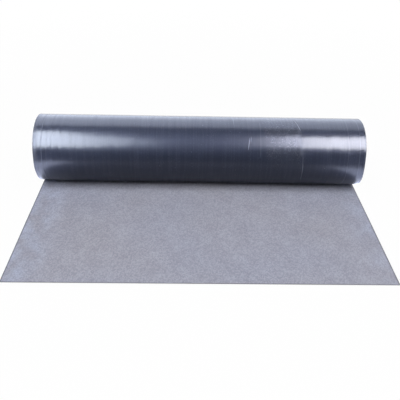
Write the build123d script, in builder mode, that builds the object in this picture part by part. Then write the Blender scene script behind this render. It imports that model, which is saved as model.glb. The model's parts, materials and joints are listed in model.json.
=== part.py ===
# Roll of mineral-surfaced roofing felt, lying on its side with a length of the sheet unrolled.
#
# The felt is one continuous sheet. Its lead lies flat on the floor, runs under the roll, and
# from there winds up the back, over the top and down the front, turn inside turn, to a bore.
# So the shiny underside faces out on the roll, and the surfaced side faces up on the lead.
#
# The wound part is one solid with a round bore. Each end shows the winding: a groove follows
# the joint between the turns, from the nip under the roll to the inner end of the sheet.
#
# Frame: X along the roll, Z up, the lead runs out towards -Y. The origin is on the floor, in
# the middle of the space that the roll and its lead cover. Units are millimetres.

from build123d import *
from math import acos, ceil, cos, floor, pi, radians, sin, sqrt
import os

# The sheet, as it is made
sheet_width = 1000
sheet_thickness = 4
sheet_length = 8000

# How it is wound, and how much of it is unrolled
bore_diameter = 64
lead_length = 500

# The joint between the turns, as it shows on the ends
joint_width = 0.8
joint_depth = 2

# Round the bore's mouth, the space in front of the sheet's inner end narrows from the sheet's
# thickness to this height
inner_tip_height = 0.8

# The winding is a spiral of half circles, alternately about two centres half a thickness
# apart. The middle of the sheet moves in from outer_middle to inner_middle, one step for each
# half turn, and outer_middle follows from the length of sheet that is wound.
bore_radius = bore_diameter / 2
wound_length = sheet_length - lead_length
step = sheet_thickness / 2
inner_middle = bore_radius + step
outer_middle = sqrt(inner_middle**2 + sheet_thickness * wound_length / pi)
outer_radius = outer_middle + step / 2
front_radius = outer_radius - step

# The roll stands over the back of the lead, and the origin is midway between the ends of both
roll_y = (lead_length - outer_radius) / 2
front_edge_y = roll_y - lead_length
back_centre = (roll_y, outer_radius)
front_centre = (roll_y, outer_radius + step)
bore_centre = (roll_y, outer_radius + step / 2)

# Positions along the winding, in half turns of the sheet's underside. It leaves the floor at
# floor_line, and a whole turn on it lies on top of the lead. At the nip, just before that, it
# is still half the joint's width above the lead.
joint_half = joint_width / 2
floor_line = 0
lead_top = floor_line + 2
nip = lead_top - acos(1 - joint_half / front_radius) / pi
inner_end = (outer_middle - inner_middle) / step
inner_tip = inner_end + 2 * (1 - inner_tip_height / sheet_thickness)


def half_turn(number):
    """Centre, radius and first angle of one half turn of the sheet's underside."""
    radius = outer_radius - number * step
    if number % 2 == 0:
        return back_centre, radius, -90
    return front_centre, radius, 90


def on_winding(position, shift=0.0):
    """The point at a position along the winding, moved outwards from it by shift."""
    number = floor(position)
    (centre_y, centre_z), radius, first_angle = half_turn(number)
    angle = radians(first_angle + 180 * (position - number))
    reach = radius + shift
    return centre_y + reach * cos(angle), centre_z + reach * sin(angle)


def wind(first, last, shift=0.0):
    """Draws the winding from one position to another as arcs, moved outwards by shift."""
    for number in range(floor(first), ceil(last)):
        centre, radius, first_angle = half_turn(number)
        begin = max(first - number, 0)
        end = min(last - number, 1)
        CenterArc(centre, radius + shift, first_angle + 180 * begin, 180 * (end - begin))


# The crevice is closed at the nip, from the roll down to the lead
nip_y, nip_z = on_winding(nip)

with BuildPart() as felt_roll:
    # Lead, outermost turn and all that is wound inside it, as one section across the roll
    with BuildSketch(Plane.YZ):
        with BuildLine():
            wind(floor_line, nip)
            Polyline(
                (nip_y, nip_z),
                (nip_y, sheet_thickness),
                (front_edge_y, sheet_thickness),
                (front_edge_y, 0),
                on_winding(floor_line),
            )
        make_face()
        with Locations(bore_centre):
            Circle(bore_radius, mode=Mode.SUBTRACT)
    extrude(amount=sheet_width / 2, both=True)

    for side in (-1, 1):
        with BuildSketch(Plane.YZ.offset(side * sheet_width / 2)):
            # Joint between the turns, from the nip inwards, and then the space in front of the
            # sheet's inner end
            with BuildLine():
                wind(lead_top, inner_tip, joint_half)
                wind(lead_top, inner_end, -joint_half)
                Polyline(
                    on_winding(lead_top, joint_half),
                    (nip_y, sheet_thickness - joint_half),
                    (nip_y, nip_z),
                    on_winding(lead_top, -joint_half),
                )
                Polyline(
                    on_winding(inner_tip, joint_half),
                    bore_centre,
                    on_winding(inner_end, -joint_half),
                )
            make_face()
        extrude(amount=-side * joint_depth, mode=Mode.SUBTRACT)

felt_roll.part.label = "felt_roll"

os.makedirs("parts", exist_ok=True)
export_step(felt_roll.part, "parts/felt_roll.step")

print(f"turns {inner_end / 2:.2f}, outside height {2 * outer_radius:.1f} mm")
print(f"bore at y {bore_centre[0]:.2f}, z {bore_centre[1]:.2f} mm")
print(f"volume {felt_roll.part.volume:.0f} mm3, solids {len(felt_roll.part.solids())}")
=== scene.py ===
import json
from math import pi, radians, tan

import bpy
import numpy as np
from mathutils import Matrix, Vector


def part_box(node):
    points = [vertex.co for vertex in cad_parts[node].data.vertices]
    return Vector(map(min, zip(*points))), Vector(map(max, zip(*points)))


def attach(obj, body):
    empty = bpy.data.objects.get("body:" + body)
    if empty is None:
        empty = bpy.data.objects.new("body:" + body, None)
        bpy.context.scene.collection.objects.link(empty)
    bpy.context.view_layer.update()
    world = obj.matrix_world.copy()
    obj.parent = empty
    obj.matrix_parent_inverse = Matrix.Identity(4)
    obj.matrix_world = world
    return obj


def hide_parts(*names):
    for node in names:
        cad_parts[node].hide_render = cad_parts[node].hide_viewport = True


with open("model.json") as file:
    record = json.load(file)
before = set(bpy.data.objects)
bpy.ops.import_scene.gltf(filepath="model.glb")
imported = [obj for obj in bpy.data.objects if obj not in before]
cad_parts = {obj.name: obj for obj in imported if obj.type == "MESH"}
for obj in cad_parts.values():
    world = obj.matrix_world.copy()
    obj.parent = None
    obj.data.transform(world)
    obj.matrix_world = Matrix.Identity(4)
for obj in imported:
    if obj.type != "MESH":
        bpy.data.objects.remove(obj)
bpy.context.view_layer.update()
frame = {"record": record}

# %% [markdown]
# ## Sizes
#
# The frame knows how wide the roll is, how high it stands and where its axis is. Only the sheet's
# own thickness and length have to be said again. The turns are wound 4 mm apart, and the sheet is
# a little thinner than that, so that a dark line of air shows between one turn and the next. A
# small bevel takes off the corners of its section.
# %% Sizes from the frame
low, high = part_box("felt_roll")
bore = next(mount for mount in frame["record"]["mounts"] if mount["name"] == "bore")

half_width = (high.x - low.x) / 2
outer_radius = (high.z - low.z) / 2
roll_y = bore["pos_m"][1]
roll_z = bore["pos_m"][2]
front_edge_y = low.y
lead_length = roll_y - front_edge_y

sheet_length = 8.0
pitch = 0.004
thickness = 0.00375
bevel = 0.0004
print(f"radius {outer_radius:.4f} m, lead {lead_length:.3f} m, width {2 * half_width:.3f} m")

# %% [markdown]
# ## Camera
#
# The camera stands in front of the roll and looks down on it. Its place and its angles were
# fitted to the outline of the real roll, so they are odd numbers. The slight roll of the camera
# is why the felt runs a little downhill to the right.
# %% Camera
scene = bpy.context.scene
scene.view_settings.view_transform = "Standard"

camera_place = Vector((-0.0390, -1.2145, 0.8895))
turned_right = radians(1.783)
tilted_down = radians(34.79)
rolled = radians(1.697)


def put_in_scene(name, data):
    """Makes an object of some data and puts it in the scene."""
    thing = bpy.data.objects.new(name, data)
    scene.collection.objects.link(thing)
    return thing


lens = bpy.data.cameras.new("camera")
lens.sensor_width = 36
lens.lens = 45.31
camera = put_in_scene("camera", lens)
camera.matrix_world = (
    Matrix.Translation(camera_place)
    @ Matrix.Rotation(-turned_right, 4, "Z")
    @ Matrix.Rotation(pi / 2 - tilted_down, 4, "X")
    @ Matrix.Rotation(rolled, 4, "Z")
)
scene.camera = camera
print("camera", tuple(camera_place))

# %% [markdown]
# ## The way along the sheet
#
# A wound sheet isn't a true spiral here but a row of half circles, alternately about two centres
# half a pitch apart, which is the shape that the frame was made with. A place on the sheet is
# given by how far it is from the front edge, how far it is under the film, and where it is across
# the roll. numpy turns whole arrays of such places into points at once.
# %% The winding
# Lengths are measured half a pitch under the film, near the middle of the sheet's thickness
most_half_turns = 40
half_turns = np.arange(most_half_turns + 1)
half_turn_radius = outer_radius - (half_turns[:-1] + 1) * pitch / 2
half_turn_starts = lead_length + np.concatenate([[0], np.cumsum(pi * half_turn_radius)])


def along_at(half_turn):
    """The distance from the front edge at which a number of half turns is wound."""
    return np.interp(half_turn, half_turns, half_turn_starts)


def half_turn_at(along):
    """The number of half turns that are wound at a distance from the front edge."""
    return np.interp(along, half_turn_starts, half_turns)


def on_winding(along, depth):
    """Gives y and z of places on the sheet.

    On the lead, y grows with the distance and z is the depth. From there on the sheet turns:
    y and z are a centre plus a radius times the cosine and sine of the angle. Each half turn has
    a radius half a pitch smaller than the last, and its centre is at the other of two heights.
    """
    position = half_turn_at(along)
    number = np.floor(position)
    odd = number % 2
    angle = pi * (position - number + odd - 0.5)
    radius = outer_radius - number * pitch / 2 - depth
    centre_z = outer_radius + odd * pitch / 2
    flat = along < lead_length
    y = np.where(flat, front_edge_y + along, roll_y + radius * np.cos(angle))
    z = np.where(flat, depth, centre_z + radius * np.sin(angle))
    return y, z


turns = half_turn_at(sheet_length) / 2
print(f"{turns:.2f} turns")

# %% [markdown]
# ## Ripples, creases and loose turns
#
# Felt that has been wound hot is never a perfect cylinder. It swells and dips by a tenth of a
# millimetre or two, and a glossy film shows that at once, because each dip bends the reflection
# of a lamp. Sums of sine waves make such a surface: they are smooth, cost nothing and come out
# the same each time, because their lengths and phases come from a seeded generator.
# %% Waves
rng = np.random.default_rng(7)


def waves(across, along, across_lengths, along_lengths, count=18):
    """A sum of sine waves, sin(across * a + along * b + c), scaled to a mean square of 1.

    Each wave has its own length across and along, between the two that are given in metres.
    """
    total = np.zeros(np.broadcast(across, along).shape)
    for _ in range(count):
        a = 2 * pi / rng.uniform(*across_lengths) * rng.choice([-1, 1])
        b = 2 * pi / rng.uniform(*along_lengths)
        total += np.sin(a * across + b * along + rng.uniform(0, 2 * pi))
    return total / np.sqrt(count / 2)


def smooth(value, start, end):
    """Rises from 0 at start to 1 at end, level at both."""
    t = np.clip((value - start) / (end - start), 0, 1)
    return t * t * (3 - 2 * t)


# %% Creases in the film
# Each crease is a straight line on the flat sheet: where it is across the sheet at its start,
# how much it leans, the half turns between which it shows, its height and its half width. Places
# and sizes are in metres.
creases = [
    {"across": 0.3095, "lean": 0.0400, "from": 1.45, "to": 1.72, "height": 0.00015, "half": 0.0020},
    {"across": 0.2450, "lean": 0.1100, "from": 0.92, "to": 1.24, "height": 0.00010, "half": 0.0020},
    {"across": 0.4462, "lean": 0.0, "from": 0.30, "to": 1.85, "height": 0.00008, "half": 0.0014},
    {"across": 0.4810, "lean": 0.0, "from": 0.30, "to": 1.85, "height": 0.00006, "half": 0.0014},
    {"across": -0.4745, "lean": 0.0, "from": 0.30, "to": 1.85, "height": 0.00008, "half": 0.0014},
]
crease_fade = 0.03


def crease_heights(across, along):
    """Adds up the creases: height * exp(-(distance / half width) ** 2), faded at both ends."""
    total = np.zeros(np.broadcast(across, along).shape)
    for crease in creases:
        start, end = along_at(crease["from"]), along_at(crease["to"])
        line = crease["across"] + crease["lean"] * (along - start)
        begun = smooth(along, start - crease_fade, start + crease_fade)
        over = smooth(along, end - crease_fade, end + crease_fade)
        shown = begun * (1 - over)
        total += crease["height"] * shown * np.exp(-(((across - line) / crease["half"]) ** 2))
    return total


highest = max(crease["height"] for crease in creases)
print(f"{len(creases)} creases, up to {1000 * highest:.2f} mm high")

# %% How the loose last turn sags
# In metres: how far it sags in the middle, and how much more one metre off it and on the right
sag_in_middle, sag_to_ends, sag_to_right = 0.0030, 0.008, 0.0035


def sag_of(across, position):
    """How far the outermost turn sags, in metres, at a number of half turns.

    It sags more towards the ends, by the square of the distance from the middle, and most on the
    right. Low down, its left corner is drawn in and its right corner turned out.
    """
    sag = sag_in_middle + sag_to_ends * across**2 + sag_to_right * np.maximum(across, 0)
    corners = 0.4 * smooth(across, 0.41, 0.50) - 0.45 * smooth(-across, 0.41, 0.50)
    sag = sag * (1 + corners * smooth(position, 1.50, 1.62))
    sag = sag * smooth(position, 1.40, 1.60)
    return sag * (1 - smooth(position, 1.78 - 0.50 * across**2, 2.00 - 0.52 * across**2))


grid = np.meshgrid(np.linspace(-half_width, half_width, 101), np.linspace(1, 2, 101))
print(f"the last turn sags by up to {1000 * sag_of(*grid).max():.1f} mm")

# %% How far the sheet stands out, and how its turns wander
# The ripples of the roll and the waves of the lead, in metres: their mean and their size
ripple_mean, ripple_size = 0.00030, 0.00006
rise_mean, rise_size = 0.0003, 0.00018


def stand_out(across, along):
    """How far the film stands out of the true winding, in metres.

    The outermost turn ripples, except where the roll's weight presses it on the floor and on the
    lead. At the front it has come loose and sags. The lead rises from the floor in long low
    waves, which is inwards here.
    """
    position = half_turn_at(along)
    free = smooth(position, 0.12, 0.40) * (1 - smooth(position, 1.78, 1.95))
    ripple = ripple_mean + ripple_size * waves(across, along, (0.08, 0.45), (0.09, 0.30), 24)
    rise = rise_mean + rise_size * waves(across, along, (0.15, 0.6), (0.12, 0.4), 8)
    rise = np.maximum(rise, 0)
    lies = smooth(along, 0.0, 0.06) * (1 - smooth(along, lead_length - 0.16, lead_length - 0.06))
    film = free * (ripple + crease_heights(across, along))
    return film + sag_of(across, position) - lies * rise


def wander(along):
    """How far each turn has slipped sideways: two sine waves of the number of turns."""
    wound = np.maximum(half_turn_at(along) / 2 - 1, 0)
    slip = 0.0011 * np.sin(1.7 * wound + 0.6) + 0.0006 * np.sin(4.1 * wound)
    return (1 - np.exp(-wound)) * slip


# %% [markdown]
# ## The sheet
#
# The sheet is one profile, its section from edge to edge, carried along the winding. The lead and
# the outermost turn show, so they get a fine grid. The turns inside show only at their ends, so
# there the profile is just its corners. One row of faces, hidden under the outermost turn, joins
# the two grids. The mesh is closed all round, like the real sheet.
# %% The section
FILM, MINERAL, CUT, END = range(4)


def section(columns):
    """Goes once round the sheet's section: across and depth of each point, and what follows it.

    The film runs from left to right, then comes the cut edge, the mineral face from right to
    left, and the other cut edge.
    """
    count = len(columns)
    right = [half_width, half_width]
    across = np.concatenate([columns, right, columns[::-1], np.negative(right)])
    inside = [bevel, thickness - bevel]
    depth = np.concatenate([np.zeros(count), inside, np.full(count, thickness), inside[::-1]])
    kind = np.full(len(across), CUT)
    kind[: count - 1] = FILM
    kind[count + 2 : 2 * count + 1] = MINERAL
    return across, depth, kind


def carry(rows, columns):
    """Carries the section along the winding: points and their (across, depth, along)."""
    across, depth, _ = section(columns)
    along = rows[:, None]
    at_end = (along <= 0) | (along >= sheet_length)
    depth = thickness / 2 + (depth - thickness / 2) * np.where(at_end, 1 - 2 * bevel / thickness, 1)
    across, along = np.broadcast_arrays(across, along)
    y, z = on_winding(along, depth - stand_out(across, along))
    points = np.stack([across + wander(along), y, z], axis=-1)
    places = np.stack([across, depth, along], axis=-1)
    return points.reshape(-1, 3), places.reshape(-1, 3)


# %% Rows and columns
inner_edge = half_width - bevel
columns = [np.linspace(-inner_edge, inner_edge, 181)]
for crease in creases:
    drift = crease["lean"] * (along_at(crease["to"]) - along_at(crease["from"]))
    nearby = np.arange(-2 * crease["half"], drift + 2 * crease["half"], 0.7 * crease["half"])
    columns.append(crease["across"] + nearby)
columns = np.unique(np.concatenate(columns).round(4))
keep = np.concatenate([[True], np.diff(columns) > 0.0005])
columns = columns[keep]
columns[0], columns[-1] = -inner_edge, inner_edge

# The fine rows end at this number of half turns, where the outermost turn hides the join
seam = 2.2
coarse_step = 1 / 24
lead_rows = np.linspace(0, lead_length, 34)
turn_rows = along_at(np.linspace(0, seam, 120))
fine_rows = np.concatenate([[0, bevel], lead_rows[1:], turn_rows[1:]])
inner_half_turns = np.arange(seam + coarse_step, 2 * turns, coarse_step)
coarse_rows = np.concatenate([along_at(inner_half_turns), [sheet_length - bevel, sheet_length]])
print(len(columns), "columns,", len(fine_rows), "fine rows and", len(coarse_rows), "coarse rows")


# %% Faces
def quads_of(rows, columns, first):
    """Four corners for each face of a closed band of rows, and the kind of each face."""
    _, _, kind = section(columns)
    around = len(kind)
    row, place = np.meshgrid(np.arange(rows - 1), np.arange(around), indexing="ij")
    after = (place + 1) % around
    corners = [row * around + place, row * around + after]
    corners += [corners[1] + around, corners[0] + around]
    return first + np.stack(corners, axis=-1).reshape(-1, 4), np.tile(kind, rows - 1)


def build_sheet():
    """Puts the fine and the coarse grid, the row between them and both end faces in one mesh.

    Round a section come the points on the film, two on the right cut, those on the mineral face
    and two on the left cut. A coarse section has only two points on each face, so eight in all.
    """
    corners = np.array([-inner_edge, inner_edge])
    fine_points, fine_places = carry(fine_rows, columns)
    coarse_points, coarse_places = carry(coarse_rows, corners)
    fine, fine_kind = quads_of(len(fine_rows), columns, 0)
    coarse, coarse_kind = quads_of(len(coarse_rows), corners, len(fine_points))

    count = len(columns)
    last = len(fine_points) - (2 * count + 4)
    base = len(fine_points)
    join = [
        [*range(last, last + count), base + 1, base],
        [*range(last + count + 2, last + 2 * count + 2), base + 5, base + 4],
    ]
    join_kind = [FILM, MINERAL]
    right = [last + count - 1 + step for step in range(4)]
    left = [last + 2 * count + 1 + step for step in range(3)] + [last]
    for outer, inner in ((right, [base + 1 + step for step in range(4)]),
                         (left, [base + 5, base + 6, base + 7, base])):
        for step in range(3):
            join.append([outer[step], outer[step + 1], inner[step + 1], inner[step]])
            join_kind.append(CUT)

    opposite = 2 * count + 1 - np.arange(count)
    film = np.arange(count)
    front = np.stack([film[1:], film[:-1], opposite[:-1], opposite[1:]], axis=-1)
    front_ends = [[0, 2 * count + 3, 2 * count + 2, 2 * count + 1],
                  [count + 2, count + 1, count, count - 1]]
    tail = len(fine_points) + len(coarse_points) - 8
    back_ends = [[tail, tail + 1, tail + 4, tail + 5],
                 [tail + 1, tail + 2, tail + 3, tail + 4],
                 [tail + 5, tail + 6, tail + 7, tail]]
    ends = front.tolist() + front_ends + back_ends

    points = np.concatenate([fine_points, coarse_points])
    places = np.concatenate([fine_places, coarse_places])
    faces = fine.tolist() + coarse.tolist() + join + ends
    kinds = np.concatenate([fine_kind, coarse_kind, join_kind, [END] * len(ends)])
    # Seen from outside, all these corners go round clockwise, so each face is turned round
    return points, places, [face[::-1] for face in faces], kinds


# %% The mesh
points, places, faces, kinds = build_sheet()
mesh = bpy.data.meshes.new("felt_sheet")
mesh.from_pydata(points.tolist(), [], faces)
mesh.update()

corner_points = np.zeros(len(mesh.loops), np.int32)
mesh.loops.foreach_get("vertex_index", corner_points)
corner_kinds = np.repeat(kinds, [len(face) for face in faces])
across, depth, along = places[corner_points].T
flat_place = np.stack([across, along], axis=-1)
flat_place[corner_kinds >= CUT, 0] = depth[corner_kinds >= CUT]
flat_place[corner_kinds == END, 1] = across[corner_kinds == END]
flat_map = mesh.uv_layers.new(name="flat_sheet")
flat_map.data.foreach_set("uv", flat_place.astype(np.float32).ravel())

mesh.polygons.foreach_set("material_index", np.minimum(kinds, CUT).astype(np.int32))
mesh.shade_smooth()
mesh.set_sharp_from_angle(angle=radians(32))
felt_sheet = put_in_scene("felt_sheet", mesh)

mesh.calc_loop_triangles()
triangles = np.zeros(len(mesh.loop_triangles) * 3, np.int32)
mesh.loop_triangles.foreach_get("vertices", triangles)
a, b, c = points[triangles.reshape(-1, 3)].transpose(1, 0, 2)
volume = (np.cross(a, b) * c).sum() / 6
area = np.linalg.norm(np.cross(b - a, c - a), axis=1).sum() / 2
print(f"{len(a)} triangles, {volume * 1000:.2f} litres, {area:.2f} square metres")

# %% [markdown]
# ## Materials
#
# Every pattern reads the map `flat_sheet`, which holds metres: across the sheet and along it. So
# a scratch that runs round the roll is a line along the sheet, and a pattern's scale is a real
# length. Colours are written as they are on a screen and turned to linear light by one function.
# %% Colour and node helpers
def colour(code):
    """Turns an sRGB colour such as #9A9CA8 to linear red, green, blue and an alpha of 1."""
    values = np.array([int(code[i : i + 2], 16) for i in (1, 3, 5)]) / 255
    linear = np.where(values <= 0.04045, values / 12.92, ((values + 0.055) / 1.055) ** 2.4)
    return (*linear.tolist(), 1.0)


def add(tree, kind, inputs=None, **settings):
    """Adds a node, whose type is ShaderNode and the kind, and returns it.

    settings are its properties. inputs holds what goes into its sockets: a value, the socket to
    link, or a node, which stands for the first of its outputs that is in use.
    """
    node = tree.nodes.new("ShaderNode" + kind)
    for name, value in settings.items():
        setattr(node, name, value)
    for name, value in (inputs or {}).items():
        if isinstance(value, bpy.types.Node):
            value = next(output for output in value.outputs if output.enabled)
        if isinstance(value, bpy.types.NodeSocket):
            tree.links.new(value, node.inputs[name])
        else:
            node.inputs[name].default_value = value
    return node


def new_material(name):
    """A material with a Principled shader, its node tree, and the map's across and along."""
    material = bpy.data.materials.new(name)
    material.use_nodes = True
    tree = material.node_tree
    tree.nodes.clear()
    shader = add(tree, "BsdfPrincipled")
    add(tree, "OutputMaterial", {"Surface": shader})
    place = add(tree, "UVMap", uv_map="flat_sheet")
    parts = add(tree, "SeparateXYZ", {"Vector": place})
    return material, tree, shader, place, parts.outputs["X"], parts.outputs["Y"]


def grains(tree, place, size_across, size_along, detail=2.0):
    """Grains of the given size in metres, across and along the sheet, from 0 to 1."""
    size = (1 / size_across, 1 / size_along, 1.0)
    scaled = add(tree, "VectorMath", {0: place, 1: size}, operation="MULTIPLY")
    return add(tree, "TexNoise", {"Vector": scaled, "Scale": 1.0, "Detail": detail})


# %% [markdown]
# ### The film
#
# The film is polyethylene, a few hundredths of a millimetre thick, melted on to hot bitumen. The
# bitumen behind it gives the near black colour, with a cast of blue. The film itself gives the
# gloss. Running the sheet over rollers has drawn fine scratches along it, which go round the roll
# and comb each reflection, and rubbing has dulled the film in patches.
# %% A mark on the film
def mark(tree, across, along, start, end, half, core=0.0, fade=0.006):
    """1 on a straight line on the sheet from start to end, 0 further off than half its width.

    start and end are (across, along) in metres, start first along the sheet. Within core of the
    line the mark is at its full strength, and it fades in and out along the sheet over fade.
    """
    lean = (end[0] - start[0]) / (end[1] - start[1])
    crossing = start[0] - lean * start[1]
    line = add(tree, "Math", {0: along, 1: lean, 2: crossing}, operation="MULTIPLY_ADD")
    apart = add(tree, "Math", {0: across, 1: line}, operation="SUBTRACT")
    apart = add(tree, "Math", {0: apart}, operation="ABSOLUTE")
    near = add(tree, "MapRange", {"Value": apart, "From Min": half, "From Max": core},
               interpolation_type="SMOOTHSTEP")
    begun = add(tree, "MapRange",
                {"Value": along, "From Min": start[1] - fade, "From Max": start[1] + fade})
    going = add(tree, "MapRange",
                {"Value": along, "From Min": end[1] + fade, "From Max": end[1] - fade})
    long = add(tree, "Math", {0: begun, 1: going}, operation="MULTIPLY")
    return add(tree, "Math", {0: near, 1: long}, operation="MULTIPLY")


# %% Rubbed lines
# Each line: where it starts and ends as (across, along) in metres, half its width in metres, and
# how white it is.
rubbed_lines = [
    ((0.1465, 0.8980), (0.1430, 0.9260), 0.0018, 0.90),
    ((0.1520, 0.8930), (0.1500, 0.9080), 0.0014, 0.40),
    ((0.2895, 0.8220), (0.3010, 0.8640), 0.0024, 0.80),
    ((0.3084, 0.9450), (0.3120, 1.0300), 0.0018, 0.14),
    ((0.3105, 0.9700), (0.3115, 1.0000), 0.0020, 0.20),
    ((0.2950, 0.8400), (0.3040, 0.9450), 0.0120, 0.11),
    ((0.2460, 0.8200), (0.2530, 0.8850), 0.0018, 0.12),
    ((0.1800, 0.8350), (0.1800, 0.9500), 0.0026, 0.07),
    ((0.0998, 0.8050), (0.1000, 0.8450), 0.0018, 0.12),
    ((0.4465, 0.7900), (0.4465, 1.0900), 0.0018, 0.08),
    ((0.4810, 0.7900), (0.4810, 1.0900), 0.0020, 0.09),
    ((-0.4745, 0.7900), (-0.4745, 1.0900), 0.0024, 0.15),
    ((-0.4610, 0.9300), (-0.4630, 1.0900), 0.0018, 0.06),
    ((-0.4990, 0.5200), (-0.4990, 1.1300), 0.0180, 0.20),
    ((0.4990, 0.5200), (0.4990, 1.1300), 0.0080, 0.08),
]
print(len(rubbed_lines), "rubbed lines")


# %% How rubbed the film is
def rubbing(tree, place, across, along, fine, fleck, dragged):
    """From 0 to 1, how rubbed and whitened the film is: at each place the strongest mark counts.

    fine and fleck are patterns, and dragged is 1 where the film was dragged over grit.
    """
    # Short rubs in clumps, where the film was dragged
    clumps = grains(tree, place, 0.016, 0.030)
    clumps = add(tree, "MapRange", {"Value": clumps, "From Min": 0.38, "From Max": 0.62})
    grazes = add(tree, "MapRange", {"Value": fleck, "From Min": 0.50, "From Max": 0.72})
    grazes = add(tree, "Math", {0: grazes, 1: clumps}, operation="MULTIPLY")
    grazes = add(tree, "Math", {0: grazes, 1: 0.25, 2: 0.05}, operation="MULTIPLY_ADD")
    grazes = add(tree, "Math", {0: grazes, 1: dragged}, operation="MULTIPLY")
    # Specks of dust, all over
    dust = add(tree, "MapRange",
               {"Value": fleck, "From Min": 0.72, "From Max": 0.80, "To Max": 0.4})
    # Fine scuffs along the scratches, all over
    worn = add(tree, "Math", {0: fine, 1: fleck}, operation="MULTIPLY")
    worn = add(tree, "MapRange",
               {"Value": worn, "From Min": 0.22, "From Max": 0.40, "To Max": 0.028})
    rubbed = add(tree, "Math", {0: grazes, 1: dust}, operation="MAXIMUM")
    rubbed = add(tree, "Math", {0: rubbed, 1: worn}, operation="MAXIMUM")
    for start, end, half, white in rubbed_lines:
        line = mark(tree, across, along, start, end, half)
        line = add(tree, "Math", {0: line, 1: white}, operation="MULTIPLY")
        rubbed = add(tree, "Math", {0: rubbed, 1: line}, operation="MAXIMUM")
    return rubbed


# %% How the film is tilted
# How strongly the scratches tilt the film across and along the roll. A normal map's level is 0.5.
tilt_across, tilt_along = 0.018, 0.09
level = (0.5 - tilt_across / 2, 0.5 - tilt_along / 2, 1.0)
pit_depth = 0.10


def tilting(tree, scratches, fleck, dragged):
    """The film's normal: noise has three colours, and two of them tilt it across and along."""
    tilts = add(tree, "VectorMath",
                {0: scratches.outputs["Color"], 1: (tilt_across, tilt_along, 0.0), 2: level},
                operation="MULTIPLY_ADD")
    # In the dragged stretch each fleck is a small pit, tilted its own way
    pits = add(tree, "VectorMath",
               {0: fleck.outputs["Color"], 1: (0.5, 0.5, 0.5)}, operation="SUBTRACT")
    depth = add(tree, "Math", {0: dragged, 1: pit_depth}, operation="MULTIPLY")
    pits = add(tree, "VectorMath", {0: pits, "Scale": depth}, operation="SCALE")
    tilts = add(tree, "VectorMath", {0: tilts, 1: pits}, operation="ADD")
    return add(tree, "NormalMap", {"Color": tilts}, uv_map="flat_sheet")


# %% Film material
def film_material():
    """Polyethylene film on bitumen: smooth, so its gloss is what shows, and scratched one way."""
    material, tree, shader, place, across, along = new_material("polyethylene_film_on_bitumen")

    # Roller scratches, really about 0.3 mm apart, drawn 1 to 5 mm apart so that they show
    scratches = grains(tree, place, 0.0052, 0.40, 3.0)
    fine = scratches.outputs["Fac"]
    # Flecks of dust and small rubs, really under 1 mm, drawn 2 mm wide and up to 5 mm long
    fleck = grains(tree, place, 0.0022, 0.0050)
    # One stretch left of the long crease was dragged over grit
    dragged = mark(tree, across, along, (0.243, 0.815), (0.256, 0.950), 0.072, 0.040, 0.040)
    rubbed = rubbing(tree, place, across, along, fine, fleck, dragged)
    combed = tilting(tree, scratches, fleck, dragged)

    base = add(tree, "Mix", {"Factor": rubbed, "A": colour("#161A24"), "B": colour("#A6ABBA")},
               data_type="RGBA")
    # The scratches change how hazy the film is, and how much of its clear coat still shines
    hazy = add(tree, "Math", {0: fine, 1: 0.30, 2: 0.33}, operation="MULTIPLY_ADD")
    hazy = add(tree, "Math", {0: dragged, 1: -0.14, 2: hazy}, operation="MULTIPLY_ADD")
    glossy = add(tree, "Math", {0: fine, 1: -0.35, 2: 1.10}, operation="MULTIPLY_ADD")
    dulled = add(tree, "Math", {0: rubbed, 1: 2.5}, operation="MULTIPLY")
    # Low on the front, grit from the lead has dulled the film, all but its ends
    gritty = mark(tree, across, along, (0, along_at(1.66)), (0, along_at(1.95)), 0.46, 0.36, 0.030)
    dulled = add(tree, "Math", {0: dulled, 1: gritty}, operation="MAXIMUM")
    glossy = add(tree, "Math", {0: glossy, 1: dulled}, operation="SUBTRACT")

    tree.links.new(base.outputs["Result"], shader.inputs["Base Color"])
    tree.links.new(hazy.outputs[0], shader.inputs["Roughness"])
    tree.links.new(combed.outputs[0], shader.inputs["Normal"])
    tree.links.new(glossy.outputs[0], shader.inputs["Coat Weight"])
    tree.links.new(combed.outputs[0], shader.inputs["Coat Normal"])
    # Polyethylene's IOR is 1.51. These are lower, matched to how dim the film's reflections are.
    shader.inputs["IOR"].default_value = 1.41
    shader.inputs["Specular Tint"].default_value = colour("#A5ADDC")
    shader.inputs["Coat IOR"].default_value = 1.48
    shader.inputs["Coat Roughness"].default_value = 0.24
    return material


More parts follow.
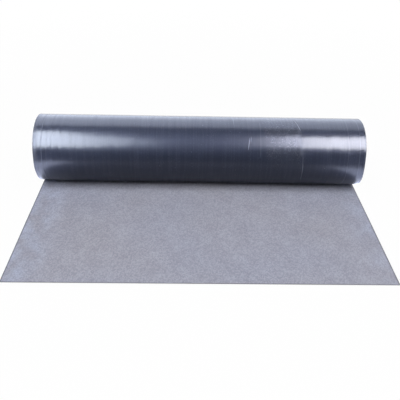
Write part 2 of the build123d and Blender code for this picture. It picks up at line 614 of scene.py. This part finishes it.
# %% [markdown]
# ### The mineral face
#
# The grit is slate flour and fine sand, rolled into the hot bitumen. It gives a matt grey with a
# cast of violet, a grain that is only just visible, and cloudy patches where more or less of the
# grit has stuck. Towards both edges a painted sheen makes the face a little bluer and lighter, and
# a rim three millimetres wide along each edge is a darker grey.
# %% Mineral material
def mineral_material():
    """Slate flour and sand on bitumen: matt, and grainy."""
    material, tree, shader, place, across, _ = new_material("mineral_grit_on_bitumen")

    # Grit, really about 0.5 mm across, drawn 2.6 by 4 mm so that it shows. Each grain is a cell
    # with a tone of its own.
    grain_across, grain_along = 0.0026, 0.0040
    scaled = add(tree, "VectorMath", {0: place, 1: (1 / grain_across, 1 / grain_along, 1.0)},
                 operation="MULTIPLY")
    grit = add(tree, "TexVoronoi", {"Vector": scaled, "Scale": 1.0}, voronoi_dimensions="2D")
    tone = add(tree, "SeparateColor", {"Color": grit.outputs["Color"]})
    cloud = grains(tree, place, 0.05, 0.06, 4.0)
    wide = grains(tree, place, 0.33, 0.30, 1.0)

    cast = add(tree, "Mix", {"Factor": wide, "A": colour("#969AAD"), "B": colour("#9E9CA4")},
               data_type="RGBA")
    # Painted sheen: towards both edges, in cloudy patches, the grey is mixed towards a lighter
    # blue, #A2A8BE
    left = add(tree, "MapRange",
               {"Value": across, "From Min": -0.38, "From Max": -0.49, "To Max": 0.8},
               interpolation_type="SMOOTHSTEP")
    right = add(tree, "MapRange",
                {"Value": across, "From Min": 0.42, "From Max": 0.49, "To Max": 0.4},
                interpolation_type="SMOOTHSTEP")
    sheen_at_edges = add(tree, "Math", {0: left, 1: right}, operation="MAXIMUM")
    patchy = add(tree, "MapRange", {"Value": cloud, "From Min": 0.35, "From Max": 0.65})
    painted_sheen = add(tree, "Math", {0: sheen_at_edges, 1: patchy}, operation="MULTIPLY")
    with_painted_sheen = add(tree, "Mix", {"Factor": painted_sheen, "A": cast, "B": colour("#A2A8BE")},
                data_type="RGBA")
    # A rim three millimetres wide along both edges is mixed towards a darker grey, #5C5D65
    off_middle = add(tree, "Math", {0: across}, operation="ABSOLUTE")
    dark_rim = add(tree, "MapRange", {"Value": off_middle, "From Min": half_width - 0.0042,
                                  "From Max": half_width - 0.0014})
    with_dark_rim = add(tree, "Mix", {"Factor": dark_rim, "A": with_painted_sheen, "B": colour("#5C5D65")},
                 data_type="RGBA")

    speckled = add(tree, "MapRange",
                   {"Value": tone.outputs["Red"], "To Min": 0.85, "To Max": 1.15})
    clouded = add(tree, "MapRange", {"Value": cloud, "From Min": 0.30, "From Max": 0.70,
                                     "To Min": 0.94, "To Max": 1.06})
    value = add(tree, "Math", {0: speckled, 1: clouded}, operation="MULTIPLY")
    shade = add(tree, "HueSaturation", {"Color": with_dark_rim, "Value": value})
    bump = add(tree, "Bump", {"Strength": 1.0, "Distance": 0.0002,
                              "Height": grit.outputs["Distance"]}, invert=True)

    tree.links.new(shade.outputs[0], shader.inputs["Base Color"])
    tree.links.new(bump.outputs[0], shader.inputs["Normal"])
    shader.inputs["Roughness"].default_value = 0.92
    shader.inputs["Specular IOR Level"].default_value = 0.3
    return material


# %% [markdown]
# ### The cut edges
#
# A knife leaves black bitumen with a dull shine, and in the middle of it the cut ends of the
# fleece, as a thin paler line. The unrolled length has been handled, so its edges are grey with
# grit that has come off the face.
# %% Cut edge material
def cut_material():
    """Cut bitumen with its fleece. On a cut, the map's across is the depth under the film."""
    material, tree, shader, place, depth, _ = new_material("cut_bitumen")

    speck = grains(tree, place, 0.0012, 0.004)
    mixed = add(tree, "Mix", {"Factor": speck, "A": colour("#2B2C30"), "B": colour("#4A4B52")},
                data_type="RGBA")
    off_middle = add(tree, "Math", {0: depth, 1: thickness / 2}, operation="SUBTRACT")
    off_middle = add(tree, "Math", {0: off_middle}, operation="ABSOLUTE")
    middle = add(tree, "MapRange",
                 {"Value": off_middle, "From Min": 0.00055, "From Max": 0.00020})
    threads = add(tree, "MapRange", {"Value": speck, "From Min": 0.3, "From Max": 0.6})
    fleece = add(tree, "Math", {0: middle, 1: threads}, operation="MULTIPLY")
    lined = add(tree, "Mix", {"Factor": fleece, "A": mixed, "B": colour("#85868C")},
                data_type="RGBA")
    where = add(tree, "SeparateXYZ", {"Vector": add(tree, "TexCoord").outputs["Object"]})
    dusty = add(tree, "MapRange", {"Value": where.outputs["Y"], "From Min": roll_y - 0.06,
                                   "From Max": roll_y - 0.12, "To Max": 0.8})
    greyed = add(tree, "Mix", {"Factor": dusty, "A": lined, "B": colour("#85868F")},
                 data_type="RGBA")
    tree.links.new(greyed.outputs["Result"], shader.inputs["Base Color"])
    shader.inputs["Roughness"].default_value = 0.7
    return material


# %% Dress the sheet
for material in (film_material(), mineral_material(), cut_material()):
    mesh.materials.append(material)
print([material.name for material in mesh.materials])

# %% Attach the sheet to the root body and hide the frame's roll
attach(felt_sheet, "root")
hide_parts("felt_roll")

# %% [markdown]
# ## Floor and light
#
# The floor is plain and white, and so is the room. The camera sees both as pure white, but on the
# object they shine only faintly, so that the felt keeps its tones.
# %% Floor
# How far the floor reaches each way, and how far it lies under the felt
floor_reach, floor_drop = 12.0, 0.0005
floor_mesh = bpy.data.meshes.new("floor")
corners = [(-1, -1), (1, -1), (1, 1), (-1, 1)]
floor_mesh.from_pydata([(floor_reach * x, floor_reach * y, -floor_drop) for x, y in corners], [],
                       [(0, 1, 2, 3)])
floor = put_in_scene("floor", floor_mesh)


def seen_directly(tree):
    """1 for what the camera, a reflection or a clear thing shows, 0 for light on the object."""
    path = add(tree, "LightPath")
    some = add(tree, "Math", {0: path.outputs["Is Camera Ray"], 1: path.outputs["Is Glossy Ray"]},
               operation="MAXIMUM")
    return add(tree, "Math", {0: some, 1: path.outputs["Is Transmission Ray"]},
               operation="MAXIMUM")


# Near the object a fortieth of the floor's white comes from the lamps, so it keeps a shadow
floor_paint = bpy.data.materials.new("white_paper_floor")
floor_paint.use_nodes = True
tree = floor_paint.node_tree
tree.nodes.clear()
far = add(tree, "VectorMath", {0: add(tree, "TexCoord").outputs["Object"]}, operation="LENGTH")
share = add(tree, "MapRange", {"Value": far.outputs["Value"], "From Min": 0.6, "From Max": 2.4,
                               "To Min": 0.975, "To Max": 1.0})
factor = add(tree, "Math", {0: share, 1: seen_directly(tree)}, operation="MULTIPLY")
paper = add(tree, "BsdfDiffuse", {"Color": colour("#EBEBEB")})
white = add(tree, "Emission", {"Color": colour("#FFFFFF"), "Strength": 1.0})
both = add(tree, "MixShader", {0: factor, 1: paper, 2: white})
add(tree, "OutputMaterial", {"Surface": both})
floor_mesh.materials.append(floor_paint)
print("the floor reaches", floor_reach, "m each way")

# %% World
world = bpy.data.worlds.new("white_room")
scene.world = world
world.use_nodes = True
tree = world.node_tree
tree.nodes.clear()
room_light = 0.20
strength = add(tree, "MapRange",
               {"Value": seen_directly(tree), "To Min": room_light, "To Max": 1.0})
sky = add(tree, "Background", {"Color": colour("#FFFFFF"), "Strength": strength})
add(tree, "OutputWorld", {"Surface": sky})
print("the room lights the object at", room_light, "of white")

# %% [markdown]
# The film mirrors one part in 20 of what it faces, so a lamp has to be many times as bright as
# paper to glow white in it. Such a lamp would burn out the grey lead. So two things are kept
# apart here. Two lamps light the matt surfaces, and reflections don't see them. Glowing cards hang
# where a photographer's softboxes would, and only reflections see those. The edges of the cards
# are what draws the bands of light along the roll.
# %% Lamps
lamp_distance = 2.2


def at_angle(x, angle, away=lamp_distance):
    """Points at x, away metres from the roll's axis, at angles in degrees up from the front."""
    turn = np.radians(angle)
    y, z = roll_y - away * np.cos(turn), roll_z + away * np.sin(turn)
    return np.stack(np.broadcast_arrays(x, y, z), axis=-1)


lamp_width = 0.8
lamp_first, lamp_last = 36, 81
lamp_middle = (lamp_first + lamp_last) / 2
lamp_length = 2 * lamp_distance * tan(radians((lamp_last - lamp_first) / 2))
for side, glow in ((-1, 6.1), (1, 6.4)):
    lamp = bpy.data.lights.new(f"fill_{side}", "AREA")
    lamp.shape = "RECTANGLE"
    lamp.size = lamp_width
    lamp.size_y = lamp_length
    lamp.energy = glow * pi * lamp_width * lamp_length
    fill = put_in_scene(f"fill_{side}", lamp)
    facing = Matrix.Rotation(pi / 2 - radians(lamp_middle), 4, "X")
    fill.matrix_world = Matrix.Translation(at_angle(side, lamp_middle)) @ facing
    fill.visible_camera = False
    fill.visible_glossy = False
print(f"two lamps, {lamp_width} m wide and {lamp_length:.2f} m long")

# %% Cards
def hang(name, one_edge, other_edge, code, glow):
    """A strip between two lines of points, which only reflections see.

    glow is how bright it is, where white paper is 1: one value, one for each pair of points, or
    one for each point.
    """
    count = len(one_edge)
    strip = bpy.data.meshes.new(name)
    strip.from_pydata(np.concatenate([one_edge, other_edge]).tolist(), [],
                      [(i, i + 1, count + i + 1, count + i) for i in range(count - 1)])
    share = strip.attributes.new("glow", "FLOAT", "POINT")
    share.data.foreach_set("value", np.broadcast_to(glow, (2, count)).astype(np.float32).ravel())
    card = put_in_scene(name, strip)
    card.visible_camera = False
    card.visible_diffuse = False
    card.visible_transmission = False
    card.visible_shadow = False
    material = bpy.data.materials.new(name)
    material.use_nodes = True
    tree = material.node_tree
    tree.nodes.clear()
    strength = add(tree, "Attribute", attribute_name="glow")
    shine = add(tree, "Emission", {"Color": colour(code), "Strength": strength.outputs["Fac"]})
    add(tree, "OutputMaterial", {"Surface": shine})
    strip.materials.append(material)
    print(name, "glows", np.min(glow), "to", np.max(glow))


# Each softbox stands at an angle to the roll, so it looks taller at its outer end: here are the
# places across, the angles of the lower and the upper edge, and the glow.
left_x = np.array([-1.60, -0.95, -0.66, -0.30])
hang("left_box", at_angle(left_x, [25.6, 27, 32.5, 42]), at_angle(left_x, [84.5, 83, 66, 54]),
     "#EBF4FF", [22.3, 22.3, 12.8, 0.4])
right_x = np.array([0.57, 0.67, 0.80, 1.60])
hang("right_box", at_angle(right_x, [44, 41.2, 38.4, 31.2]), at_angle(right_x, [70, 73, 75.8, 77]),
     "#F6F7FF", [1.5, 12.0, 23.6, 25.2])
back_angle = np.array([107, 122, 138, 177])
hang("back_card", at_angle(-1.8, back_angle), at_angle(1.8, back_angle), "#E2EBFF",
     np.outer([1.36, 0.90], [3.35, 3.25, 2.6, 2.5]))

# %% [markdown]
# A photographer hangs dark cloth wherever a shiny thing would mirror the bright room. One cloth
# lies in front of the felt and rises behind the camera and over the top. It is a very dark blue.
# White cards lie on the floor beside the felt, and light the roll's ends from below.
# %% Cloth and floor cards
just_above_floor = 0.001
cloth = at_angle(2.2, np.linspace(-2.5, 106, 40), away=2.6)
cloth[:, 2] = np.maximum(cloth[:, 2], just_above_floor)
front = [half_width - 0.05, front_edge_y - 0.12, just_above_floor]
cloth = np.concatenate([[front], cloth])
hang("dark_cloth", cloth * (-1, 1, 1), cloth, "#C6CCDC", 0.115)

beside = np.array([half_width + 0.004, half_width + 0.8])
for side, glow, begin in ((-1, [[8.2], [4.6]], 0.12), (1, [[5.6], [5.0]], 0.02)):
    near = [(side * x, front_edge_y - begin, just_above_floor) for x in beside]
    far = [(side * x, roll_y, just_above_floor) for x in beside]
    hang(f"floor_card_{side}", near, far, "#DCE4FF", glow)
